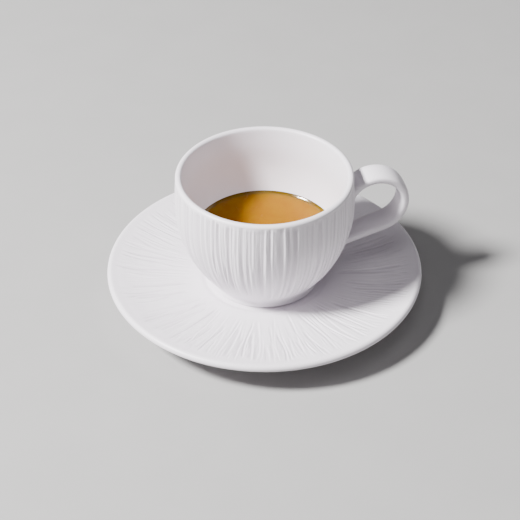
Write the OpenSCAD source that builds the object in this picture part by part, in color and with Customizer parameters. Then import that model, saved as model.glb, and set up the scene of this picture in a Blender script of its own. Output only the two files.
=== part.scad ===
// Espresso shot in a thick-walled porcelain cup with a ribbon handle, standing on its saucer.
// Millimetres. +Z is up, the origin is the middle of the saucer's base on the table,
// the cup's axis is the Z axis and the handle points along +X.

/* [Saucer] */
// Diameter over the rim
saucer_d = 120; // [108:1:144]
// Height of the rolled rim's top above the table
saucer_h = 13.2; // [12.4:0.1:20]
// Thickness of the rim, rounded over its whole edge
saucer_rim_t = 2.8; // [2:0.1:4]
// Height of the dish's flat middle above the table
saucer_middle_h = 8.7; // [8.2:0.1:9.6]
// Thickness of the dish under its flat middle
saucer_middle_t = 4.2; // [3.4:0.1:4.6]
// Width of the flat ring round the recess, outside which the dish begins to rise
saucer_flat_w = 2.9; // [1:0.1:6]
// Depth of the recess that the cup's foot stands in
recess_depth = 0.7; // [0.4:0.1:1.2]
// Radial room between the cup's foot and the recess's wall
recess_room = 2.2; // [1.2:0.1:3]
// Width of the recess's sloping wall
recess_slope_w = 0.9; // [0.4:0.1:1.6]
// Outer radius of the saucer's foot ring
saucer_foot_r = 34; // [32:0.5:40]
// Width of the saucer's foot ring where it stands
saucer_foot_w = 2.4; // [1.6:0.1:4]

/* [Cup] */
// Height of the cup from its foot to its lip
cup_h = 46.5; // [42:0.5:56]
// Largest radius of the bowl
belly_r = 33.4; // [30:0.1:37]
// Height of the largest radius above the foot
belly_h = 34; // [30:0.5:38]
// How far the lip's outside lies inside the bowl's widest circle
lip_inset = 0.55; // [0.3:0.05:1.2]
// Thickness of the bowl's wall
bowl_wall = 4.2; // [3.4:0.1:4.8]
// Thickness of the lip
lip_t = 2.4; // [2:0.1:3]
// Thickness of the floor over the foot's hollow
cup_floor_t = 3.2; // [2.6:0.1:4.4]

/* [Cup foot] */
// Outer radius of the cup's foot ring
cup_foot_r = 21; // [19:0.5:23]
// Height of the upright band round the foot
cup_foot_h = 2.6; // [2:0.1:3.4]
// Step from the upright band in to the bowl
cup_foot_step = 0.4; // [0.2:0.1:0.8]
// Width of the foot ring where it stands
cup_foot_w = 3; // [2:0.1:4]
// Height of the hollow inside the foot ring
cup_foot_hollow = 1.5; // [1:0.1:2.2]
// Radius of the foot's rounded lower edge
cup_foot_edge = 0.8; // [0.5:0.1:1.2]

/* [Handle] */
// Radius of the loop along the middle of the ribbon
loop_r = 11; // [9.6:0.1:13]
// Distance of the loop's centre outside the bowl's widest circle
loop_reach = 8.8; // [7.6:0.1:12]
// Distance of the loop's centre below the bowl's widest circle
loop_drop = 4.4; // [2:0.1:8]
// Width of the ribbon
ribbon_w = 10.2; // [6:0.1:12]
// Thickness of the ribbon
ribbon_t = 3.6; // [3:0.1:4.8]
// Slope at which the loop's upper end dips into the cup's wall, in degrees
upper_limb_slope = 52; // [20:2:52]
// Slope of the straight lower limb that runs down to the cup, in degrees
lower_limb_slope = 17.5; // [5:0.5:25]

/* [Espresso] */
// Height of the drink's surface above the cup's foot
fill_h = 20; // [12:0.5:34]

/* [Hidden] */
$fn = 96;

porcelain = [0.92, 0.91, 0.93];
crema = [0.79, 0.56, 0.22];

// Radius of an arc that starts level and ends touching a round edge of radius edge_r, whose
// centre lies run across and rise up. The edge is under the arc (side = 1) or on it (side = -1).
function touching_r(run, rise, edge_r, side) =
    (run * run + rise * rise - edge_r * edge_r) / (2 * (rise + side * edge_r));

// Radius of an arc that starts upright and has come run aside where it is rise up
function leaning_r(run, rise) = (run * run + rise * rise) / (2 * run);

well_h = saucer_middle_h - recess_depth;
well_r = cup_foot_r + recess_room;
saucer_r = saucer_d / 2;
saucer_flat_r = well_r + recess_slope_w + saucer_flat_w;
saucer_edge_r = saucer_rim_t / 2;
rim_centre = [saucer_r - saucer_edge_r, saucer_h - saucer_edge_r];
dish_run = rim_centre[0] - saucer_flat_r;
dish_under_h = saucer_middle_h - saucer_middle_t;
dish_top_arc_r = touching_r(dish_run, rim_centre[1] - saucer_middle_h, saucer_edge_r, 1);
dish_under_arc_r = touching_r(dish_run, rim_centre[1] - dish_under_h, saucer_edge_r, -1);
saucer_foot_lean = 0.8;

// The bowl's arc is upright at the belly and ends at the step on the foot
bowl_run = belly_r - cup_foot_r + cup_foot_step;
bowl_rise = belly_h - cup_foot_h;
bowl_arc_r = leaning_r(bowl_run, bowl_rise);
lip_edge_r = lip_t / 2;
lip_centre = [belly_r - lip_inset - lip_edge_r, cup_h - lip_edge_r];
lip_rise = lip_centre[1] - belly_h;
upper_arc_r = leaning_r(lip_inset, lip_rise);
thinning_arc_r = leaning_r(bowl_wall - lip_inset - lip_t, lip_rise);
floor_top = cup_foot_hollow + cup_floor_t;
foot_inner_r = cup_foot_r - cup_foot_w;
inner_belly_r = belly_r - bowl_wall;
inner_arc_r = bowl_arc_r - bowl_wall;
loop_x = belly_r + loop_reach;
loop_h = belly_h - loop_drop;
bound = 2 * saucer_d;

// The half plane strip x >= 0 between two heights
module strip(z0, z1, x0 = 0, x1 = bound) {
    translate([x0, z0]) square([x1 - x0, z1 - z0]);
}

module disc(centre, r) {
    translate(centre) circle(r = r, $fn = 180);
}

// Dish of the saucer between its upper and its lower arc, with the rolled rim. Both arcs end
// where they touch the rim's round edge, so the slice ends on the two radii to those points.
module dish_outline() {
    top_arc_centre = [saucer_flat_r, saucer_middle_h + dish_top_arc_r];
    under_arc_centre = [saucer_flat_r, dish_under_h + dish_under_arc_r];
    out_from_under = (rim_centre - under_arc_centre) / (dish_under_arc_r - saucer_edge_r);
    in_to_top = (top_arc_centre - rim_centre) / (dish_top_arc_r + saucer_edge_r);
    intersection() {
        difference() {
            disc(under_arc_centre, dish_under_arc_r);
            disc(top_arc_centre, dish_top_arc_r);
        }
        polygon([
            [saucer_flat_r, 0],
            rim_centre + out_from_under * 2 * saucer_rim_t,
            rim_centre,
            rim_centre + in_to_top * 2 * saucer_rim_t,
            [saucer_flat_r, 2 * saucer_h],
        ]);
    }
    disc(rim_centre, saucer_edge_r);
    strip(dish_under_h, saucer_middle_h, 0, saucer_flat_r);
}

module saucer_foot_outline() {
    polygon([
        [saucer_foot_r - saucer_foot_w, 0],
        [saucer_foot_r, 0],
        [saucer_foot_r + saucer_foot_lean, dish_under_h + 1],
        [saucer_foot_r - saucer_foot_w - saucer_foot_lean, dish_under_h + 1],
    ]);
}

module recess_outline() {
    polygon([
        [0, well_h],
        [well_r, well_h],
        [well_r + recess_slope_w, saucer_middle_h],
        [well_r + recess_slope_w, saucer_h],
        [0, saucer_h],
    ]);
}

module saucer() {
    color(porcelain) rotate_extrude() difference() {
        union() {
            dish_outline();
            saucer_foot_outline();
        }
        recess_outline();
    }
}

// Filled outline of the cup's outside, from the foot to the lip
module cup_outside() {
    intersection() {
        disc([belly_r - bowl_arc_r, belly_h], bowl_arc_r);
        strip(cup_foot_h, belly_h);
    }
    intersection() {
        disc([belly_r - upper_arc_r, belly_h], upper_arc_r);
        strip(belly_h, lip_centre[1]);
    }
    strip(lip_centre[1] - 0.5, cup_h, 0, lip_centre[0]);
    disc(lip_centre, lip_edge_r);
    strip(cup_foot_edge, cup_foot_h, 0, cup_foot_r);
    strip(0, cup_foot_edge, 0, cup_foot_r - cup_foot_edge);
    disc([cup_foot_r - cup_foot_edge, cup_foot_edge], cup_foot_edge);
}

// Filled outline of the space inside the cup, thinning towards the lip
module cup_inside() {
    intersection() {
        disc([inner_belly_r - inner_arc_r, belly_h], inner_arc_r);
        strip(floor_top, belly_h);
    }
    difference() {
        strip(belly_h, cup_h + 1, 0, lip_centre[0]);
        disc([inner_belly_r + thinning_arc_r, belly_h], thinning_arc_r);
        disc(lip_centre, lip_edge_r);
    }
}

// Section of the handle: a ribbon with round edges, its thickness along x
module ribbon() {
    edge_r = ribbon_t / 2;
    square([ribbon_t, ribbon_w - ribbon_t], center = true);
    for (side = [-1, 1]) translate([0, side * (ribbon_w - ribbon_t) / 2]) circle(r = edge_r, $fn = 48);
}

// A straight limb that runs from one end of the loop back into the cup's wall
module limb(angle, length, turn) {
    rotate([0, 0, angle]) translate([loop_r, 0, 0]) rotate([turn * 90, 0, 0])
        linear_extrude(height = length) ribbon();
}

// One quarter or more of the loop, swept up from the level of its centre
module arc_of_loop(angle) {
    rotate_extrude(angle = angle) translate([loop_r, 0]) ribbon();
}

module handle() {
    upper_end = 90 + upper_limb_slope;
    lower_end = 90 - lower_limb_slope;
    upper_limb = (loop_x - loop_r * sin(upper_limb_slope) - belly_r + bowl_wall / 2) / cos(upper_limb_slope);
    lower_limb = (loop_x + loop_r * sin(lower_limb_slope) - cup_foot_r) / cos(lower_limb_slope);
    translate([loop_x, 0, loop_h]) rotate([90, 0, 0]) {
        arc_of_loop(upper_end);
        mirror([0, 1, 0]) arc_of_loop(lower_end);
        limb(upper_end, upper_limb, -1);
        limb(-lower_end, lower_limb, 1);
    }
}

module cup() {
    color(porcelain) translate([0, 0, well_h]) difference() {
        union() {
            rotate_extrude() cup_outside();
            handle();
        }
        rotate_extrude() cup_inside();
        translate([0, 0, -1]) cylinder(r = foot_inner_r, h = cup_foot_hollow + 1);
    }
}

module espresso() {
    color(crema) translate([0, 0, well_h]) rotate_extrude() intersection() {
        cup_inside();
        strip(0, fill_h);
    }
}

saucer();
cup();
espresso();
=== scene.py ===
import math
import random
from dataclasses import dataclass

import bmesh
import bpy
import numpy as np
from bpy.props import FloatProperty, FloatVectorProperty, IntProperty, PointerProperty
from mathutils import Matrix, Vector, kdtree


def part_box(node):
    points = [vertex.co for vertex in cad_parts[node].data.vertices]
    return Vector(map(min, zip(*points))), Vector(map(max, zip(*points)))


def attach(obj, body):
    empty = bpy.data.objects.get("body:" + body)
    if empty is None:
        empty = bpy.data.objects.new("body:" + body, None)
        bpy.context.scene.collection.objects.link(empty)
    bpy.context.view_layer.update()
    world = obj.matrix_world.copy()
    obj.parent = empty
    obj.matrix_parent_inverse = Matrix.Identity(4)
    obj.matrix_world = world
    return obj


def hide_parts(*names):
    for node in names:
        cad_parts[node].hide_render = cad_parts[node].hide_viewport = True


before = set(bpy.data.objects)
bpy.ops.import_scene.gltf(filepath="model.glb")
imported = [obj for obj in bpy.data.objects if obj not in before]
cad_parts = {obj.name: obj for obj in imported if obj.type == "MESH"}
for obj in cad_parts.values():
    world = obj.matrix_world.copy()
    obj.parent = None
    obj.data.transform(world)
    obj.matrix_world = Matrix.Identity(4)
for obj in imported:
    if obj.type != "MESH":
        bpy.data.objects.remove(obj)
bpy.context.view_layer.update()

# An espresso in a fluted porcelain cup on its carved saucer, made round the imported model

bl_info = {
    "name": "Espresso shot",
    "version": (1, 0, 0),
    "blender": (4, 5, 0),
    "location": "3D View > Sidebar > Espresso",
    "description": "An espresso in a fluted porcelain cup, on a saucer with carved rays",
    "category": "Add Mesh",
}

CUP_LOW, CUP_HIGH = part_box("cup")
SAUCER_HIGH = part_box("saucer")[1]
DRINK_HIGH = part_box("espresso")[1]
MM = 0.001
FULL_TURN = 2 * math.pi


# ---------------------------------------------------------------- sizes and colours

def length(name, about, mm):
    """A length property with its default given in millimetres."""
    return FloatProperty(
        name=name, description=about, default=mm * MM, min=0.0, unit="LENGTH", precision=5)


def degrees(name, about, angle):
    """An angle property with its default given in degrees."""
    return FloatProperty(name=name, description=about, default=math.radians(angle), unit="ROTATION")


def colour(name, about, rgb):
    """A colour property."""
    return FloatVectorProperty(
        name=name, description=about, default=rgb, size=3, min=0, max=1, subtype="COLOR")


def whole(name, about, default, least=0):
    """A whole number property."""
    return IntProperty(name=name, description=about, default=default, min=least)


class CupSizes(bpy.types.PropertyGroup):
    """Sizes of the cup's bowl and foot, its heights counted from the cup's foot."""
    belly_r: length("Belly radius", "Largest radius of the bowl", 33.4)
    belly_h: length("Belly height", "Height of the largest radius", 34)
    wall: length("Wall", "Thickness of the bowl's wall", 4.2)
    lip_t: length("Lip thickness", "Thickness of the rounded lip", 2.4)
    lip_inset: length("Lip inset", "How far the lip lies inside the belly", 0.55)
    floor_t: length("Floor", "Thickness of the floor over the foot's hollow", 3.2)
    foot_r: length("Foot radius", "Outer radius of the foot ring", 21)
    foot_h: length("Foot height", "Height of the upright band round the foot", 2.6)
    foot_step: length("Foot step", "Step from the band in to the bowl", 0.4)
    foot_w: length("Foot width", "Width of the foot ring where it stands", 3)
    foot_hollow: length("Foot hollow", "Height of the hollow inside the foot ring", 1.5)
    foot_edge: length("Foot edge", "Radius of the foot's lower edge", 0.8)
    foot_bevel: length("Foot bevel", "Bevel of the foot ring's inner edges", 0.4)
    segments: whole("Segments", "Divisions round the cup", 1050, 60)


class HandleSizes(bpy.types.PropertyGroup):
    """Sizes of the ribbon loop."""
    loop_r: length("Loop radius", "Radius along the middle of the ribbon", 11)
    reach: length("Reach", "Distance of the loop's centre outside the belly", 8.8)
    drop: length("Drop", "Distance of the loop's centre below the belly", 4.4)
    width: length("Width", "Width of the ribbon", 10.2)
    thickness: length("Thickness", "Thickness of the ribbon", 3.6)
    upper_slope: degrees("Upper slope", "Slope at which the upper end dips into the wall", 58)
    lower_slope: degrees("Lower slope", "Slope of the lower limb", 17.5)
    fillet: length("Fillet", "Radius of the hollow where the ribbon meets the wall", 1.3)
    root: length("Root", "Depth to which the lower limb reaches into the wall", 2.2)
    sink: length("Fillet's sink", "Depth in the wall at which the fillet has faded out", 0.45)


class FluteSizes(bpy.types.PropertyGroup):
    """The grooves carved down the outside of the cup."""
    count: whole("Flutes", "Long grooves round the cup", 78, 8)
    fine_count: whole("Fine flutes", "Fine short grooves of each kind", 60)
    depth: length("Depth", "Depth of the deepest groove", 0.56)
    swell: length("Swell", "Height of the slow unevenness of the ridges", 0.16)
    band_low: length("Lower end", "Height of the lowest groove above the foot", 4.5)
    band_high: length("Upper end", "Height above the foot where the grooves stop under the lip", 45.4)
    root_clear: length("Root clear", "Distance from the handle's roots over which the cuts fade", 2.2)
    seed: whole("Seed", "Start of the random grooves", 41)
    swell_seed: whole("Swell seed", "Start of the random unevenness", 5)


class SaucerSizes(bpy.types.PropertyGroup):
    """Sizes of the saucer, its heights counted from the table."""
    rim_t: length("Rim thickness", "Thickness of the rounded rim", 2.8)
    middle_h: length("Middle height", "Height of the dish's flat middle", 8.7)
    middle_t: length("Middle thickness", "Thickness under the flat middle", 4.2)
    recess_depth: length("Recess", "Depth of the recess under the cup", 0.7)
    recess_room: length("Recess room", "Room round the cup's foot", 2.2)
    recess_slope: length("Recess slope", "Width of the recess's sloping wall", 0.9)
    recess_soft: length("Recess softness", "Widening of the slope at each end, where it is rounded", 0.9)
    flat_w: length("Flat ring", "Width of the flat ring round the recess", 2.9)
    foot_r: length("Foot radius", "Outer radius of the foot ring", 34)
    foot_w: length("Foot width", "Width of the foot ring where it stands", 2.4)
    foot_lean: length("Foot lean", "How far the ring's sides lean out on each side", 0.8)
    foot_bevel: length("Foot bevel", "Bevel of the foot ring's edges", 0.4)
    segments: whole("Segments", "Divisions round the saucer", 1620, 60)


class RaySizes(bpy.types.PropertyGroup):
    """The rays carved across the saucer's dish."""
    count: whole("Rays", "Long grooves", 190, 8)
    fine_count: whole("Fine rays", "Fine short grooves near the rim", 190)
    raised_count: whole("Raised rays", "Thin raised lines", 36)
    depth: length("Depth", "Depth of the deepest groove", 0.3)
    swell: length("Swell", "Height of the slow unevenness of the dish", 0.14)
    band_low: length("Inner end", "Radius where the longest rays begin", 26.0)
    band_high: length("Outer end", "Radius where the rays stop inside the rim", 57)
    seed: whole("Seed", "Start of the random rays", 7)
    swell_seed: whole("Swell seed", "Start of the random unevenness", 9)


class DrinkSizes(bpy.types.PropertyGroup):
    """Sizes of the drink's surface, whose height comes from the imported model."""
    sink: length("Sink", "How far the level lies under the packed drink's top", 0.5)
    climb: length("Climb", "How far the surface climbs the wall", 0.8)
    bank: length("Bank", "Width of the bank in which it climbs", 1.3)
    into_wall: length("Into the wall", "How far the drink's sides reach into the porcelain", 0.1)
    segments: whole("Segments", "Divisions round the drink", 270, 60)


class Finishes(bpy.types.PropertyGroup):
    """Colours of the porcelain and the drink."""
    glaze: colour("Glaze", "Porcelain under its satin glaze", (0.80, 0.762, 0.806))
    # painted shade: the grey that the grooves are tinted with, standing in for shade in the cuts
    groove_shade: colour("Pooled glaze", "Glaze where it pools in the grooves", (0.62, 0.575, 0.625))
    bare: colour("Bare foot", "Unglazed porcelain on the foot rings", (0.62, 0.585, 0.54))
    crema: colour("Crema", "Golden foam", (0.245, 0.106, 0.0))
    crema_dark: colour("Dark crema", "Amber parts of the foam", (0.215, 0.072, 0.0))
    coffee: colour("Coffee", "Dark line at the wall and the drink under its foam", (0.13, 0.035, 0.002))


# ---------------------------------------------------------------- outlines

def arc(centre, radius, start, end, steps, first=True):
    """Points of an arc in the (radius, height) plane, between two angles in radians."""
    span = range(0 if first else 1, steps + 1)
    return [
        (centre[0] + radius * math.cos(start + (end - start) * i / steps),
         centre[1] + radius * math.sin(start + (end - start) * i / steps))
        for i in span
    ]


def line(start, end, steps):
    """Points from start to end, start left out."""
    return [
        (start[0] + (end[0] - start[0]) * i / steps, start[1] + (end[1] - start[1]) * i / steps)
        for i in range(1, steps + 1)
    ]


def curve(start, corner, end, steps):
    """Points of a soft bend that leaves start and reaches end towards a corner, start left out."""
    return [
        tuple((1 - t) ** 2 * p + 2 * t * (1 - t) * q + t * t * r for p, q, r in zip(start, corner, end))
        for t in (i / steps for i in range(1, steps + 1))
    ]


def leaning_radius(run, rise):
    """Radius of an arc that starts upright and has come run aside where it is rise along."""
    return (run * run + rise * rise) / (2 * run)


# The soft corner where the cup's floor meets its wall: its radial run and its turn along the wall
CORNER_RUN = 1.5 * MM
CORNER_TURN = 0.03


class Bowl:
    """The arcs of the cup's bowl, worked out from its sizes. Heights are in the row frame."""

    def __init__(self, c):
        self.foot = CUP_LOW.z
        self.belly = self.foot + c.belly_h
        self.lip_r = c.lip_t / 2
        self.lip = (c.belly_r - c.lip_inset - self.lip_r, CUP_HIGH.z - self.lip_r)
        self.rise = self.lip[1] - self.belly
        self.outer_r = leaning_radius(c.belly_r - c.foot_r + c.foot_step, c.belly_h - c.foot_h)
        self.outer_x = c.belly_r - self.outer_r
        self.inner_r = self.outer_r - c.wall
        self.upper_r = leaning_radius(c.lip_inset, self.rise)
        self.upper_x = c.belly_r - self.upper_r
        self.thin_r = leaning_radius(c.wall - c.lip_inset - c.lip_t, self.rise)
        self.thin_x = c.belly_r - c.wall + self.thin_r
        self.floor = self.foot + c.foot_hollow + c.floor_t
        self.floor_turn = math.asin((self.floor - self.belly) / self.inner_r)

    def outside(self, z):
        """Radius of the bowl's outside at each height."""
        low = self.outer_x + np.sqrt(np.maximum(self.outer_r ** 2 - (z - self.belly) ** 2, 0))
        high = self.upper_x + np.sqrt(np.maximum(self.upper_r ** 2 - (z - self.belly) ** 2, 0))
        return np.where(z < self.belly, low, high)

    def inside(self, z):
        """Radius of the bowl's inside at a height below the belly."""
        return self.outer_x + math.sqrt(self.inner_r ** 2 - (z - self.belly) ** 2)


def cup_outline(c):
    """Half section of the cup from the middle of its floor, over the lip, to its foot's hollow."""
    b = Bowl(c)
    bowl_centre = (b.outer_x, b.belly)
    points = [(0, b.floor)]
    points += line((0, b.floor), (b.inside(b.floor) - CORNER_RUN, b.floor), 3)
    points += arc(bowl_centre, b.inner_r, b.floor_turn + CORNER_TURN, 0, 10)
    # both of the wall's arcs stop just short of the lip's round edge, so that the joints are soft
    thinning = math.asin(b.rise / b.thin_r)
    thinning_kept = 0.94
    lip_end = -0.08
    upper_gap = 0.3 * MM
    points += arc(
        (b.thin_x, b.belly), b.thin_r, math.pi, math.pi - thinning_kept * thinning, 4, first=False)
    points += arc(b.lip, b.lip_r, math.pi - thinning, lip_end, 12)
    upper_end = math.asin((b.rise - upper_gap) / b.upper_r)
    points += arc((b.upper_x, b.belly), b.upper_r, upper_end, 0, 10)
    # the bowl flows into the foot's band in a soft hollow
    band_top = b.foot + c.foot_h
    hollow_up = 1.4 * MM
    hollow_down = 1.2 * MM
    bowl_end = math.asin((band_top + hollow_up - b.belly) / b.outer_r)
    points += arc(bowl_centre, b.outer_r, 0, bowl_end, 30, first=False)
    hollow = (c.foot_r - c.foot_step / 2, band_top - 0.1 * MM)
    points += curve(points[-1], hollow, (c.foot_r, band_top - hollow_down), 5)
    points += arc((c.foot_r - c.foot_edge, b.foot + c.foot_edge), c.foot_edge, 0, -math.pi / 2, 5)
    inner = c.foot_r - c.foot_w
    ceiling = b.foot + c.foot_hollow
    points += [(inner + c.foot_bevel, b.foot), (inner, b.foot + c.foot_bevel)]
    points += [(inner, ceiling - c.foot_bevel), (inner - c.foot_bevel, ceiling)]
    points += [(0, ceiling)]
    return points


def saucer_outline(s, cup):
    """Half section of the saucer from the middle of its recess, over the rim, to its underside."""
    rim_r = s.rim_t / 2
    rim = (SAUCER_HIGH.x - rim_r, SAUCER_HIGH.z - rim_r)
    well = s.middle_h - s.recess_depth
    well_r = cup.foot_r + s.recess_room
    flat_r = well_r + s.recess_slope + s.flat_w
    under = s.middle_h - s.middle_t
    run = rim[0] - flat_r
    top_rise = rim[1] - s.middle_h
    under_rise = rim[1] - under
    top_r = (run * run + top_rise * top_rise - rim_r * rim_r) / (2 * (top_rise + rim_r))
    under_r = (run * run + under_rise * under_rise - rim_r * rim_r) / (2 * (under_rise - rim_r))
    down = -math.pi / 2
    top_turn = math.atan2(run, s.middle_h + top_r - rim[1])
    under_turn = math.atan2(run, under + under_r - rim[1])
    foot_turn = math.asin((s.foot_r + s.foot_lean - flat_r) / under_r)
    # the recess, and the slope that rises out of it in a soft S
    slope_start = well_r - s.recess_soft
    slope_w = s.recess_slope + 2 * s.recess_soft
    points = [(0, well)]
    points += line((0, well), (slope_start, well), 2)
    points += [
        (slope_start + share * slope_w, well + s.recess_depth * share * share * (3 - 2 * share))
        for share in (0.15, 0.3, 0.43, 0.57, 0.7, 0.85, 1.0)
    ]
    # the top of the dish, its rim and its underside
    points += line(points[-1], (flat_r, s.middle_h), 1)
    points += arc((flat_r, s.middle_h + top_r), top_r, down, down + top_turn, 28, first=False)
    points += arc(rim, rim_r, math.pi / 2 + top_turn, down + under_turn, 10, first=False)
    points += arc((flat_r, under + under_r), under_r, down + under_turn, down + foot_turn, 5, first=False)
    # the foot ring, a little wider over its bevels than where it stands
    flare = 0.1 * MM
    inner = s.foot_r - s.foot_w
    root = inner - s.foot_lean
    points += [(s.foot_r + flare, s.foot_bevel), (s.foot_r - s.foot_bevel, 0)]
    points += [(inner + s.foot_bevel, 0), (inner - flare, s.foot_bevel)]
    points += [(root, under - s.foot_bevel), (root - s.foot_bevel, under)]
    points += line(points[-1], (0, under), 2)
    return points


def drink_outline(c, d):
    """Half section of the drink, from the middle of the cup's floor, up the wall and over its top."""
    b = Bowl(c)
    bottom = b.floor - d.into_wall
    level = DRINK_HIGH.z - d.sink
    side_r = b.inner_r + d.into_wall
    shore = math.asin((level + d.climb - b.belly) / side_r)
    points = [(0, bottom)]
    points += line(points[0], (b.inside(b.floor) - CORNER_RUN, bottom), 2)
    points += arc((b.outer_x, b.belly), side_r, b.floor_turn + CORNER_TURN, shore, 10)
    # the surface climbs the wall in a small bank
    wall_r = points[-1][0]
    bank_steps = 10
    for i in range(1, bank_steps + 1):
        share = i / bank_steps
        rise = d.climb * (0.5 + 0.5 * math.cos(math.pi * share))
        points.append((wall_r - share * d.bank, level + rise))
    points += line(points[-1], (0, level), 30)
    return points


# ---------------------------------------------------------------- making meshes

# Points closer than this are one point
MERGE_WITHIN = 0.001 * MM
# Equal slices that a spun shape is put together from
SLICES = 30
# Edges sharper than this are left crisp
CRISP_OVER = math.radians(50)


def spun(outline, segments):
    """A bmesh of the outline turned once round the Z axis, closed and facing outwards.

    The outline is turned through one slice, and the slice is then repeated round the axis.
    """
    slice_turn = FULL_TURN / SLICES
    axis = {"cent": (0, 0, 0), "axis": (0, 0, 1)}
    bm = bmesh.new()
    verts = [bm.verts.new((r, 0, z)) for r, z in outline]
    edges = [bm.edges.new(pair) for pair in zip(verts, verts[1:])]
    bmesh.ops.spin(bm, geom=verts + edges, angle=slice_turn, steps=segments // SLICES, **axis)
    slice_geom = bm.verts[:] + bm.edges[:] + bm.faces[:]
    bmesh.ops.spin(
        bm, geom=slice_geom, angle=FULL_TURN - slice_turn, steps=SLICES - 1, use_duplicate=True, **axis)
    bmesh.ops.remove_doubles(bm, verts=bm.verts, dist=MERGE_WITHIN)
    bmesh.ops.recalc_face_normals(bm, faces=bm.faces)
    return bm


def new_object(bm, name):
    """An object in the scene that holds a bmesh, which is freed."""
    mesh = bpy.data.meshes.new(name)
    bm.to_mesh(mesh)
    bm.free()
    piece = bpy.data.objects.new(name, mesh)
    bpy.context.scene.collection.objects.link(piece)
    return piece


def shade(piece):
    """Smooth shading, with sharp edges left crisp."""
    piece.data.polygons.foreach_set("use_smooth", [True] * len(piece.data.polygons))
    piece.data.set_sharp_from_angle(angle=CRISP_OVER)


def stand_for(piece, node, material):
    """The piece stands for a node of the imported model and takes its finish."""
    piece.data.materials.clear()
    piece.data.materials.append(material)
    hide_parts(node)
    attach(piece, "root")


def smooth_step(x):
    """0 up to 0, 1 from 1 on, and smooth in between."""
    x = np.clip(x, 0, 1)
    return x * x * (3 - 2 * x)


def positions(mesh):
    """Places of all points, one row each."""
    found = np.empty(len(mesh.vertices) * 3)
    mesh.vertices.foreach_get("co", found)
    return found.reshape(-1, 3)


def normals(mesh):
    """Normals of all points, one row each."""
    found = np.empty(len(mesh.vertices) * 3, dtype=np.float32)
    mesh.vertex_normals.foreach_get("vector", found)
    return found.reshape(-1, 3).astype(float)


# ---------------------------------------------------------------- carving

# Height of the burr on a groove's steep edge, as a share of the groove's depth
RAISED_EDGE = 0.32
# Place of the burr and its spread, in half widths of the groove
BURR_AT = 2.1
BURR_SPREAD = 0.8
# How far a stroke's sway swings along its length, in radians
SWAY_TURN = 4.2


@dataclass
class Stroke:
    """One cut or raised line that follows a meridian from start to end."""
    angle: float
    start: float
    end: float
    half_width: float
    depth: float
    soft_side: float
    wander: float
    phase: float
    fade_in: float
    fade_out: float

    def depth_at(self, angle, run, radius):
        """Depth at each point. One flank is steep with a raised edge, the other is soft and wide."""
        along = (run - self.start) / (self.end - self.start)
        sway = self.wander * np.sin(self.phase + SWAY_TURN * along)
        off = (angle - self.angle + math.pi) % FULL_TURN - math.pi
        across = (off * radius - sway) / self.half_width
        burr = RAISED_EDGE * np.exp(-((across - BURR_AT) ** 2) / BURR_SPREAD)
        across = np.where(across > 0, across, across / self.soft_side)
        fade_in = smooth_step((run - self.start) / self.fade_in)
        fade_out = smooth_step((self.end - run) / self.fade_out)
        return self.depth * (np.exp(-across * across) - burr) * (fade_in * fade_out)


def carved_depth(angle, run, radius, strokes):
    """Depth at each point of a set of strokes. Where two meet, the deeper one wins."""
    cut = np.zeros_like(angle)
    raised = np.zeros_like(angle)
    for stroke in strokes:
        depth = stroke.depth_at(angle, run, radius)
        cut = np.maximum(cut, depth)
        raised = np.minimum(raised, depth)
    return cut + raised


# How far the slow unevenness runs along a carved band, in radians
SWELL_RUN = 3


def swell_height(angle, along, waves, seed):
    """Slow unevenness round 0.5, seldom past 0 or 1, of waves round the axis that drift along the run."""
    pick = random.Random(seed)
    total = np.zeros_like(angle)
    power = 0.0
    for n in waves:
        size = pick.uniform(0.4, 1.0)
        drift = pick.uniform(-2.2, 2.2)
        phase = pick.uniform(0, FULL_TURN)
        total += size * np.sin(n * angle + drift * along + phase)
        power += size * size
    spread = 0.175
    return 0.5 + spread * total / math.sqrt(power / 2)


def stroke_set(pick, number, f, **ranges):
    """Strokes at even steps with a random shift. A range is a pair, or a pair and a power to skew it.

    Widths, wander and fades are in millimetres and depths are shares of the deepest cut. Start is a
    share of the carved band, and length is a share of the band that is left beyond start.
    """
    def draw(name):
        low, high, *power = ranges[name]
        return low + (high - low) * pick.random() ** (power[0] if power else 1)

    low, high = f.band_low, f.band_high
    side_shift = 0.45
    strokes = []
    for i in range(number):
        start = low + draw("start") * (high - low)
        end = min(start + draw("length") * (high - start), high + pick.uniform(-0.5, 0.2) * MM)
        strokes.append(Stroke(
            angle=(i + pick.uniform(-side_shift, side_shift)) * FULL_TURN / number,
            start=start,
            end=end,
            half_width=draw("half_width") * MM,
            depth=draw("depth") * f.depth,
            soft_side=draw("soft_side"),
            wander=draw("wander") * MM * pick.choice((-1, 1)),
            phase=pick.uniform(0, FULL_TURN),
            fade_in=draw("fade_in") * MM,
            fade_out=draw("fade_out") * MM,
        ))
    return strokes


def flutes(f):
    """Grooves of the cup: long ones from the lip down, short ones that start or stop part way."""
    pick = random.Random(f.seed)
    long_ones = stroke_set(
        pick, f.count, f, start=(0, 0.16), length=(1, 1), half_width=(0.26, 0.55), depth=(0.3, 1.0),
        soft_side=(1.2, 4.5), wander=(0, 0.45), fade_in=(2, 8), fade_out=(0.5, 1.6))
    upper = stroke_set(
        pick, f.fine_count, f, start=(0.2, 0.75), length=(1, 1), half_width=(0.24, 0.4), depth=(0.2, 0.6),
        soft_side=(1.0, 3.0), wander=(0, 0.4), fade_in=(3, 9), fade_out=(0.5, 2.0))
    lower = stroke_set(
        pick, f.fine_count, f, start=(0.02, 0.4), length=(0.25, 0.7), half_width=(0.24, 0.42),
        depth=(0.2, 0.6), soft_side=(1.0, 3.0), wander=(0, 0.5), fade_in=(1.5, 5), fade_out=(3, 9))
    return long_ones + upper + lower


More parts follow.
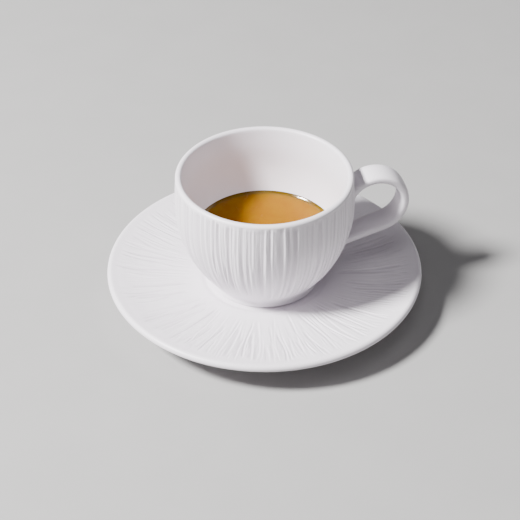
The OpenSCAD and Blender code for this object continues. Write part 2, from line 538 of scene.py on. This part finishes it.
def rays(f):
    """Grooves and raised lines of the saucer, with uneven lengths, closer together near the rim."""
    pick = random.Random(f.seed)
    long_ones = stroke_set(
        pick, f.count, f, start=(0, 0.6, 1.5), length=(0.8, 1), half_width=(0.24, 0.42),
        depth=(0.2, 1.0, 1.6), soft_side=(1.0, 3.2), wander=(0, 1.0), fade_in=(2, 7), fade_out=(0.8, 4))
    short_ones = stroke_set(
        pick, f.fine_count, f, start=(0.45, 0.85), length=(0.4, 1), half_width=(0.22, 0.32),
        depth=(0.2, 0.7), soft_side=(1.0, 2.5), wander=(0, 0.6), fade_in=(1, 3), fade_out=(0.8, 2.5))
    raised = stroke_set(
        pick, f.raised_count, f, start=(0.05, 0.6), length=(0.3, 0.9), half_width=(0.3, 0.5),
        depth=(-0.7, -0.25), soft_side=(1.0, 2.5), wander=(0, 1.2), fade_in=(3, 6), fade_out=(2, 6))
    return long_ones + short_ones + raised


def press_in(piece, on, depth, deepest, band):
    """Moves the points that are on in along their normals. Keeps the depth and the band as attributes."""
    mesh = piece.data
    moved = positions(mesh)
    moved[on] -= normals(mesh)[on] * depth[:, None]
    mesh.vertices.foreach_set("co", moved.ravel())
    for name, values in (("groove", np.clip(depth / deepest, -1, 1)), ("carved", band)):
        share = np.zeros(len(mesh.vertices), dtype=np.float32)
        share[on] = values
        mesh.attributes.new(name, "FLOAT", "POINT").data.foreach_set("value", share)
    mesh.update()


def polar(piece):
    """Angle, radius and height of every point."""
    at = positions(piece.data)
    return np.arctan2(at[:, 1], at[:, 0]), np.hypot(at[:, 0], at[:, 1]), at[:, 2]


def away_from(piece, others, on, fade):
    """0 at the points that lie at the other points, rising to 1 at the fade distance."""
    at = positions(piece.data)
    found = np.flatnonzero(others)
    tree = kdtree.KDTree(len(found))
    for index in found:
        tree.insert(at[index], int(index))
    tree.balance()
    share = np.ones(len(at))
    near = at[others].min(axis=0) - fade, at[others].max(axis=0) + fade
    for index in np.flatnonzero(on & (at > near[0]).all(axis=1) & (at < near[1]).all(axis=1)):
        share[index] = tree.find(at[index])[2] / fade
    return smooth_step(share)


def carve_cup(piece, c, f):
    """Cuts the flutes into the bowl's outside. The lip, the foot, the inside and the handle stay smooth."""
    b = Bowl(c)
    angle, radius, z = polar(piece)
    on_skin = 0.03 * MM
    over_lip = 0.2 * MM
    over_foot = 1.5 * MM
    beyond = radius - b.outside(z)
    on = (np.abs(beyond) < on_skin) & (z - b.foot > c.foot_h) & (z < b.lip[1] + over_lip)
    handle = (beyond > on_skin) & (z - b.foot > c.foot_h + over_foot) & (z < b.lip[1])
    clear = away_from(piece, handle, on, f.root_clear)[on]
    angle, radius, height = angle[on], radius[on], z[on] - b.foot
    span = f.band_high - f.band_low
    lower_fade = 0.3 * span
    upper_fade = 1.5 * MM
    band = smooth_step((height - f.band_low) / lower_fade) * smooth_step((f.band_high - height) / upper_fade)
    swell = swell_height(angle, height / span * SWELL_RUN, range(31, 97, 3), f.swell_seed)
    depth = carved_depth(angle, height, radius, flutes(f)) + f.swell * band * swell
    press_in(piece, on, depth * clear, f.depth, band * clear)


def carve_saucer(piece, f):
    """Cuts the rays into the top of the dish, between its flat ring and its rim."""
    angle, radius, _ = polar(piece)
    on = (normals(piece.data)[:, 2] > 0.5) & (radius > f.band_low) & (radius < f.band_high)
    angle, radius = angle[on], radius[on]
    span = f.band_high - f.band_low
    inner_fade = 0.4 * span
    outer_fade = 0.1 * span
    band = smooth_step((radius - f.band_low) / inner_fade) * smooth_step((f.band_high - radius) / outer_fade)
    swell = swell_height(angle, radius / span * SWELL_RUN, range(21, 90, 3), f.swell_seed) - 0.5
    depth = carved_depth(angle, radius, radius, rays(f)) + f.swell * band * swell
    press_in(piece, on, depth, f.depth, band)


# ---------------------------------------------------------------- handle

# Points round the ribbon's section
RIBBON_POINTS = 40
# Power of the section's outline: 2 is an oval, and more is squarer
SQUARENESS = 3.2


def heading(turn):
    """Unit vector in the handle's plane, turned up from +X."""
    return Vector((math.cos(turn), 0, math.sin(turn)))


def squared(x):
    """A coordinate of a round section, pushed out towards the section's corners."""
    return math.copysign(abs(x) ** (2 / SQUARENESS), x)


def ribbon_section(bm, h, middle, outwards):
    """A closed ring with the ribbon's section, its thickness along outwards and its width along Y."""
    ring = bmesh.ops.create_circle(bm, segments=RIBBON_POINTS, radius=1, cap_ends=False)["verts"]
    for v in ring:
        across = squared(v.co.x) * h.thickness / 2
        along = squared(v.co.y) * h.width / 2
        v.co = middle + outwards * across + Vector((0, along, 0))
    return ring


def ring_edges(ring):
    """The edges between the points of a ring, in a fixed order."""
    return list(dict.fromkeys(e for v in ring for e in v.link_edges if e.other_vert(v) in ring))


def pulled(bm, ring, way, steps):
    """Extrudes a ring of points along a way in equal steps, and returns the last ring."""
    for _ in range(steps):
        made = bmesh.ops.extrude_edge_only(bm, edges=ring_edges(ring))["geom"]
        ring = [v for v in made if isinstance(v, bmesh.types.BMVert)]
        bmesh.ops.translate(bm, verts=ring, vec=way / steps)
    return ring


def lower_root(h, b, start):
    """The place on the lower limb's line where it has reached far enough into the wall."""
    stride = 0.25 * MM
    step = heading(h.lower_slope) * stride
    root = start.copy()
    while root.x > b.outside(np.array(root.z)) - h.root:
        root -= step
    return root


def handle_mesh(c, h):
    """The ribbon: a straight lower limb out of the wall, the loop, and its upper end into the wall."""
    b = Bowl(c)
    middle = Vector((c.belly_r + h.reach, 0, b.belly - h.drop))
    low_turn = h.lower_slope - math.pi / 2
    high_turn = math.pi / 2 + h.upper_slope
    low_start = middle + heading(low_turn) * h.loop_r
    low_root = lower_root(h, b, low_start)
    bm = bmesh.new()
    ring = ribbon_section(bm, h, low_root, heading(low_turn))
    first = list(ring)
    ring = pulled(bm, ring, low_start - low_root, steps=26)
    loop = bmesh.ops.spin(
        bm, geom=ring + ring_edges(ring), cent=middle, axis=(0, -1, 0), angle=high_turn - low_turn, steps=72)
    ring = [v for v in loop["geom_last"] if isinstance(v, bmesh.types.BMVert)]
    # the upper end runs to the middle of the wall's thickness
    high_end = middle + heading(high_turn) * h.loop_r
    high_length = (high_end.x - c.belly_r + c.wall / 2) / math.cos(h.upper_slope)
    last = pulled(bm, ring, -heading(h.upper_slope) * high_length, steps=10)
    bmesh.ops.remove_doubles(bm, verts=bm.verts, dist=MERGE_WITHIN)
    ends = [[v for v in ring if v.is_valid] for ring in (first, last)]
    for ring in ends:
        bmesh.ops.contextual_create(bm, geom=ring_edges(ring))
    bmesh.ops.recalc_face_normals(bm, faces=bm.faces)
    flare_roots(bm, b, h, set(ends[0] + ends[1]))
    return bm


def flare_roots(bm, b, h, ends):
    """Widens the ribbon where it nears the wall, so that it runs into it with a hollow fillet."""
    bm.normal_update()
    moves = []
    for v in bm.verts:
        wall = float(b.outside(np.array(v.co.z)))
        clear = math.hypot(v.co.x, v.co.y) - wall
        if clear > h.fillet or v in ends:
            continue
        if clear >= 0:
            grow = h.fillet - math.sqrt(h.fillet ** 2 - (h.fillet - clear) ** 2)
        else:
            grow = h.fillet * max(0.0, 1 + clear / h.sink)
        outwards = Vector((v.co.x, v.co.y, 0)).normalized()
        along_wall = v.normal - outwards * v.normal.dot(outwards)
        moves.append((v, along_wall * grow))
    for v, move in moves:
        v.co += move


def joined(piece, bm, name):
    """Adds a closed mesh to a piece, so that the two are one skin."""
    other = new_object(bm, name)
    union = piece.modifiers.new("union", "BOOLEAN")
    union.operation = "UNION"
    union.solver = "MANIFOLD"
    union.object = other
    bpy.context.view_layer.update()
    depsgraph = bpy.context.evaluated_depsgraph_get()
    merged = bpy.data.meshes.new_from_object(piece.evaluated_get(depsgraph))
    piece.modifiers.remove(union)
    old = piece.data
    piece.data = merged
    bpy.data.meshes.remove(old)
    spare = other.data
    bpy.data.objects.remove(other)
    bpy.data.meshes.remove(spare)
    merged.name = piece.name


# ---------------------------------------------------------------- materials

class Nodes:
    """Short calls to add and link the nodes of a material or a group."""

    def __init__(self, tree):
        self.tree = tree

    def add(self, kind, **settings):
        """A new node with its settings."""
        node = self.tree.nodes.new(kind)
        for name, value in settings.items():
            setattr(node, name, value)
        return node

    def put(self, value, socket):
        """Links an output to a socket, or sets the socket to a plain value."""
        if isinstance(value, bpy.types.NodeSocket):
            self.tree.links.new(value, socket)
        else:
            socket.default_value = value

    def feed(self, node, **inputs):
        """Fills a node's inputs by name, underscores standing for spaces, and returns the node."""
        for name, value in inputs.items():
            self.put(value, node.inputs[name.replace("_", " ")])
        return node

    def math(self, operation, a, b=0.0, clamp=False):
        """The result of one operation on two values."""
        node = self.add("ShaderNodeMath", operation=operation, use_clamp=clamp)
        self.put(a, node.inputs[0])
        self.put(b, node.inputs[1])
        return node.outputs[0]

    def noise(self, where, scale, detail=2.0, roughness=0.5, distortion=0.0):
        """Cloudy noise between 0 and 1."""
        node = self.add("ShaderNodeTexNoise")
        self.feed(node, Vector=where, Scale=scale, Detail=detail, Roughness=roughness, Distortion=distortion)
        return node.outputs["Fac"]

    def mix(self, amount, a, b):
        """Colour a going to colour b."""
        node = self.add("ShaderNodeMix", data_type="RGBA")
        self.put(amount, node.inputs[0])
        for value, socket in ((a, node.inputs[6]), (b, node.inputs[7])):
            self.put((*value, 1) if isinstance(value, tuple) else value, socket)
        return node.outputs[2]

    def between(self, value, low, high):
        """0 below low, 1 above high, smooth in between."""
        node = self.add("ShaderNodeMapRange", interpolation_type="SMOOTHSTEP")
        self.feed(node, Value=value, From_Min=low, From_Max=high)
        return node.outputs["Result"]

    def bump(self, height, strength, depth, **under):
        """A normal bent by a height, over another normal if one is given."""
        node = self.add("ShaderNodeBump")
        self.feed(node, Strength=strength, Distance=depth, Height=height, **under)
        return node.outputs[0]

    def attribute(self, name):
        """A value stored at the piece's points."""
        return self.add("ShaderNodeAttribute", attribute_name=name).outputs["Fac"]

    def place(self):
        """The point on the piece, in metres."""
        return self.add("ShaderNodeTexCoord").outputs["Object"]

    def polar_place(self):
        """The point on the piece, its X, Y and Z, and its distance from the Z axis."""
        where = self.place()
        x, y, z = self.feed(self.add("ShaderNodeSeparateXYZ"), Vector=where).outputs
        squares = self.math("ADD", self.math("MULTIPLY", x, x), self.math("MULTIPLY", y, y))
        return where, (x, y, z), self.math("SQRT", squares)


def group(name, inputs, outputs):
    """An empty node group with float inputs and outputs, and its in and out nodes."""
    tree = bpy.data.node_groups.new(name, "ShaderNodeTree")
    for label, default in inputs.items():
        socket = tree.interface.new_socket(name=label, in_out="INPUT", socket_type="NodeSocketFloat")
        socket.default_value = default
    for label in outputs:
        tree.interface.new_socket(name=label, in_out="OUTPUT", socket_type="NodeSocketFloat")
    nodes = Nodes(tree)
    return nodes, nodes.add("NodeGroupInput"), nodes.add("NodeGroupOutput")


def glaze_group():
    """Fine unevenness of a satin glaze: a height for bump and a patchy dulling for roughness."""
    n, given, out = group("satin_glaze", {"Grain": 2600.0, "Patch": 90.0}, ("Height", "Dulling"))
    where = n.place()
    grain = n.noise(where, given.outputs["Grain"], detail=3)
    ripple = n.noise(where, given.outputs["Patch"], detail=4, roughness=0.6)
    grain_share = 0.35
    height = n.math("ADD", n.math("MULTIPLY", grain, grain_share), ripple)
    n.feed(out, Height=height, Dulling=n.between(ripple, 0.3, 0.7))


def tool_mark_group():
    """Fine streaks of a carving tool along the meridians, as a height."""
    n, given, out = group("tool_marks", {"Around": 30.0, "Along": 60.0, "Band": 1.0}, ("Height",))
    _, (x, y, z), radius = n.polar_place()
    ring = n.feed(
        n.add("ShaderNodeCombineXYZ"),
        X=n.math("MULTIPLY", n.math("DIVIDE", x, radius), given.outputs["Around"]),
        Y=n.math("MULTIPLY", n.math("DIVIDE", y, radius), given.outputs["Around"]),
        Z=n.math("MULTIPLY", n.math("ADD", radius, z), given.outputs["Along"]))
    marks = n.noise(ring.outputs[0], 1.0, detail=3, roughness=0.65)
    n.feed(out, Height=n.math("MULTIPLY", marks, given.outputs["Band"]))


def bare_ring_group():
    """1 on the ring where a foot stands and the glaze was wiped off, 0 elsewhere."""
    n, given, out = group("wiped_foot", {"Height": 0.0, "Inner": 0.0, "Outer": 1.0}, ("Mask",))
    where, (_, _, z), radius = n.polar_place()
    waver = n.math("MULTIPLY", n.noise(where, 900.0), 0.25 * MM)
    radius = n.math("ADD", radius, waver)
    over_inner = n.math("GREATER_THAN", radius, given.outputs["Inner"])
    under_outer = n.math("LESS_THAN", radius, given.outputs["Outer"])
    wiped_height = n.math("ADD", given.outputs["Height"], 0.3 * MM)
    low = n.math("LESS_THAN", n.math("ADD", z, waver), wiped_height)
    n.feed(out, Mask=n.math("MULTIPLY", n.math("MULTIPLY", over_inner, under_outer), low))


def use_group(n, name, **inputs):
    """The outputs of a shared node group that is added to a material."""
    return n.feed(n.add("ShaderNodeGroup", node_tree=bpy.data.node_groups[name]), **inputs).outputs


def new_material(name):
    """A material, the calls for its nodes and its shader."""
    material = bpy.data.materials.new(name)
    material.use_nodes = True
    return material, Nodes(material.node_tree), material.node_tree.nodes["Principled BSDF"]


def porcelain(name, colours, foot_z, foot_inner, foot_outer):
    """White satin porcelain, with painted shade that greys it in the cuts, and a bare foot ring."""
    material, n, shader = new_material(name)
    glaze = use_group(n, "satin_glaze", Grain=2600.0, Patch=90.0)
    bare = use_group(n, "wiped_foot", Height=foot_z, Inner=foot_inner, Outer=foot_outer)["Mask"]
    marks = use_group(n, "tool_marks", Around=34.0, Along=75.0, Band=n.attribute("carved"))
    # colour: painted shade greys the grooves, with faint clouds
    # painted shade, deepest in the deepest grooves
    painted_groove_shade = n.math("MULTIPLY", n.between(n.attribute("groove"), 0.15, 1.0), 0.75)
    cloud = n.math("MULTIPLY", glaze["Dulling"], 0.06)
    greyness = n.math("ADD", painted_groove_shade, cloud, clamp=True)
    glazed = n.mix(greyness, tuple(colours.glaze), tuple(colours.groove_shade))
    # roughness: satin, dull in patches and rough where it is bare
    satin = n.math("ADD", n.math("MULTIPLY", glaze["Dulling"], 0.1), 0.34)
    roughness = n.math("ADD", satin, n.math("MULTIPLY", bare, 0.4))
    streaks = n.bump(marks["Height"], strength=0.6, depth=0.35 * MM)
    grain = n.bump(glaze["Height"], strength=0.25, depth=0.03 * MM, Normal=streaks)
    finish = n.mix(bare, glazed, tuple(colours.bare))
    n.feed(shader, Base_Color=finish, Roughness=roughness, Normal=grain, IOR=1.5)
    return material


def crema_material(colours, edge_r):
    """Golden foam with amber drifts, a darker wet edge at the wall and a fine grain."""
    material, n, shader = new_material("crema")
    where, (_, _, z), radius = n.polar_place()
    crema_dark = tuple(colours.crema_dark)
    coffee = tuple(colours.coffee)
    # drifts and flecks of amber foam
    drift = n.between(n.noise(where, 75.0, detail=5, roughness=0.55, distortion=1.4), 0.38, 0.66)
    fleck = n.between(n.noise(where, 900.0, detail=3), 0.35, 0.75)
    amber = n.math("ADD", n.math("MULTIPLY", drift, 0.6), n.math("MULTIPLY", fleck, 0.14), clamp=True)
    foam = n.mix(amber, tuple(colours.crema), crema_dark)
    # the foam darkens towards the wall, and most in a thin uneven line
    shore = n.math("ADD", radius, n.math("MULTIPLY", n.noise(where, 260.0, detail=3), 0.5 * MM))
    shore_end = edge_r + 0.3 * MM
    amber_rim = n.between(shore, edge_r - 2.4 * MM, shore_end)
    dark_line = n.between(shore, edge_r - 0.25 * MM, shore_end)
    foam = n.mix(n.math("MULTIPLY", amber_rim, 0.5), foam, crema_dark)
    foam = n.mix(n.math("MULTIPLY", dark_line, 0.2), foam, coffee)
    # under the foam the drink is dark, and the bank that climbs the wall is wet
    surface = DRINK_HIGH.z
    under = n.math("SUBTRACT", 1.0, n.between(z, surface - 2.5 * MM, surface - 1.5 * MM))
    wet_ring = n.between(radius, edge_r - 1.8 * MM, edge_r - 1.0 * MM)
    grain = n.math("ADD", n.noise(where, 1500.0, detail=2), n.math("MULTIPLY", n.noise(where, 160.0), 2.0))
    n.feed(
        shader,
        Base_Color=n.mix(under, foam, coffee),
        Roughness=n.math("ADD", n.math("MULTIPLY", drift, 0.1), 0.2),
        Normal=n.bump(grain, strength=0.2, depth=0.03 * MM),
        Coat_Weight=n.math("MULTIPLY", wet_ring, 0.95),
        Coat_Roughness=0.1,
        Coat_IOR=1.36,
        IOR=1.36,
        Specular_IOR_Level=0.12,
        Subsurface_Weight=1.0,
        Subsurface_Scale=13 * MM,
        Subsurface_Radius=(1.0, 0.6, 0.2))
    return material


def floor_material():
    """Pale floor with a faint unevenness of colour."""
    material, n, shader = new_material("pale_floor")
    cloud = n.noise(n.place(), 40.0, detail=4)
    n.feed(shader, Base_Color=n.mix(cloud, (0.33, 0.327, 0.323), (0.36, 0.357, 0.353)), Roughness=0.6)
    return material


# ---------------------------------------------------------------- operators

class ESPRESSO_OT_finishes(bpy.types.Operator):
    """Makes the node groups that the porcelain of the cup and the saucer share"""
    bl_idname = "espresso.finishes"
    bl_label = "Shared finishes"

    def execute(self, context):
        glaze_group()
        tool_mark_group()
        bare_ring_group()
        return {"FINISHED"}


class ESPRESSO_OT_saucer(bpy.types.Operator):
    """Makes the saucer with its carved rays"""
    bl_idname = "espresso.saucer"
    bl_label = "Saucer"

    def execute(self, context):
        scene = context.scene
        s = scene.espresso_saucer
        piece = new_object(spun(saucer_outline(s, scene.espresso_cup), s.segments), "carved_saucer")
        shade(piece)
        carve_saucer(piece, scene.espresso_rays)
        finish = porcelain("saucer_porcelain", scene.espresso_finishes, 0.0, s.foot_r - s.foot_w, s.foot_r)
        stand_for(piece, "saucer", finish)
        return {"FINISHED"}


class ESPRESSO_OT_cup(bpy.types.Operator):
    """Makes the fluted cup and its ribbon handle as one piece"""
    bl_idname = "espresso.cup"
    bl_label = "Cup and handle"

    def execute(self, context):
        scene = context.scene
        c = scene.espresso_cup
        piece = new_object(spun(cup_outline(c), c.segments), "fluted_cup")
        joined(piece, handle_mesh(c, scene.espresso_handle), "handle")
        shade(piece)
        carve_cup(piece, c, scene.espresso_flutes)
        foot_inner = c.foot_r - c.foot_w
        foot_outer = c.foot_r - 0.5 * MM
        finish = porcelain("cup_porcelain", scene.espresso_finishes, CUP_LOW.z, foot_inner, foot_outer)
        stand_for(piece, "cup", finish)
        return {"FINISHED"}


class ESPRESSO_OT_drink(bpy.types.Operator):
    """Makes the espresso with its crema, climbing the wall a little at its edge"""
    bl_idname = "espresso.drink"
    bl_label = "Espresso"

    def execute(self, context):
        scene = context.scene
        c = scene.espresso_cup
        d = scene.espresso_surface
        piece = new_object(spun(drink_outline(c, d), d.segments), "espresso_crema")
        shade(piece)
        edge_r = Bowl(c).inside(DRINK_HIGH.z)
        stand_for(piece, "espresso", crema_material(scene.espresso_finishes, edge_r))
        return {"FINISHED"}


class ESPRESSO_OT_stage(bpy.types.Operator):
    """Sets the pale floor, the lights and the camera"""
    bl_idname = "espresso.stage"
    bl_label = "Stage"

    def execute(self, context):
        bm = bmesh.new()
        bmesh.ops.create_grid(bm, x_segments=1, y_segments=1, size=FLOOR_REACH)
        floor = new_object(bm, "floor")
        floor.data.materials.append(floor_material())
        add_camera(context.scene)
        add_lights(context.scene)
        return {"FINISHED"}


# Distance from the object to the floor's edges, in metres
FLOOR_REACH = 3.0
# Direction in which the camera looks, turned from +Y, and its height over the horizon
CAMERA_TURN = math.radians(-11.4)
CAMERA_RISE = math.radians(37.78)
CAMERA_AWAY = 573.3 * MM
CAMERA_LENS = 103.85
CAMERA_TARGET = Vector((-1.69, 0, 14.57)) * MM


def direction(turn, rise):
    """Unit vector from the object towards a place that lies turn round from -Y and rise up."""
    return Vector((math.sin(turn) * math.cos(rise), -math.cos(turn) * math.cos(rise), math.sin(rise)))


def aimed(obj, at, towards):
    """Puts an object at a place and points its -Z axis at another."""
    facing = (towards - at).to_track_quat("-Z", "Y").to_matrix().to_4x4()
    obj.matrix_world = Matrix.Translation(at) @ facing


def add_camera(scene):
    """The camera, aimed at a point near the cup's foot."""
    lens = bpy.data.cameras.new("camera")
    lens.lens = CAMERA_LENS
    lens.sensor_width = 36
    lens.clip_start = 10 * MM
    camera = bpy.data.objects.new("camera", lens)
    scene.collection.objects.link(camera)
    target = Matrix.Rotation(CAMERA_TURN, 3, "Z") @ CAMERA_TARGET
    aimed(camera, target + direction(CAMERA_TURN, CAMERA_RISE) * CAMERA_AWAY, target)
    scene.camera = camera


def add_lamp(scene, name, turn, rise, away, size, power, tint):
    """A round softbox. Its turn is counted from the camera's side."""
    lamp = bpy.data.lights.new(name, "AREA")
    lamp.shape = "DISK"
    lamp.size = size
    lamp.energy = power
    lamp.color = tint
    holder = bpy.data.objects.new(name, lamp)
    scene.collection.objects.link(holder)
    middle = Vector((0, 0, 30 * MM))
    place = middle + direction(CAMERA_TURN + math.radians(turn), math.radians(rise)) * away
    aimed(holder, place, middle)


def add_lights(scene):
    """One softbox from the left, two weak fills and a dim pale room."""
    add_lamp(scene, "key", turn=-73, rise=46, away=1.4, size=0.3, power=86, tint=(1, 0.99, 0.985))
    add_lamp(scene, "fill", turn=100, rise=26, away=1.6, size=0.9, power=3, tint=(0.97, 0.95, 1))
    add_lamp(scene, "overhead", turn=0, rise=76, away=1.6, size=0.9, power=4, tint=(0.98, 0.96, 1))
    world = bpy.data.worlds.new("room")
    world.use_nodes = True
    background = world.node_tree.nodes["Background"]
    background.inputs["Color"].default_value = (0.93, 0.92, 0.96, 1)
    background.inputs["Strength"].default_value = 0.1
    scene.world = world


class ESPRESSO_PT_panel(bpy.types.Panel):
    """Lists the pieces in the order they are made"""
    bl_idname = "ESPRESSO_PT_panel"
    bl_label = "Espresso shot"
    bl_space_type = "VIEW_3D"
    bl_region_type = "UI"
    bl_category = "Espresso"

    def draw(self, context):
        for operator in OPERATORS:
            self.layout.operator(operator.bl_idname)


SIZES = {
    "espresso_cup": CupSizes,
    "espresso_handle": HandleSizes,
    "espresso_flutes": FluteSizes,
    "espresso_saucer": SaucerSizes,
    "espresso_rays": RaySizes,
    "espresso_surface": DrinkSizes,
    "espresso_finishes": Finishes,
}
OPERATORS = (ESPRESSO_OT_finishes, ESPRESSO_OT_saucer, ESPRESSO_OT_cup, ESPRESSO_OT_drink, ESPRESSO_OT_stage)


def register():
    for cls in (*SIZES.values(), *OPERATORS, ESPRESSO_PT_panel):
        bpy.utils.register_class(cls)
    for name, cls in SIZES.items():
        setattr(bpy.types.Scene, name, PointerProperty(type=cls))


def unregister():
    for name in SIZES:
        delattr(bpy.types.Scene, name)
    for cls in (ESPRESSO_PT_panel, *reversed(OPERATORS), *reversed(SIZES.values())):
        bpy.utils.unregister_class(cls)


def main():
    register()
    bpy.ops.espresso.finishes()
    bpy.ops.espresso.saucer()
    bpy.ops.espresso.cup()
    bpy.ops.espresso.drink()
    bpy.ops.espresso.stage()


if __name__ == "__main__":
    main()
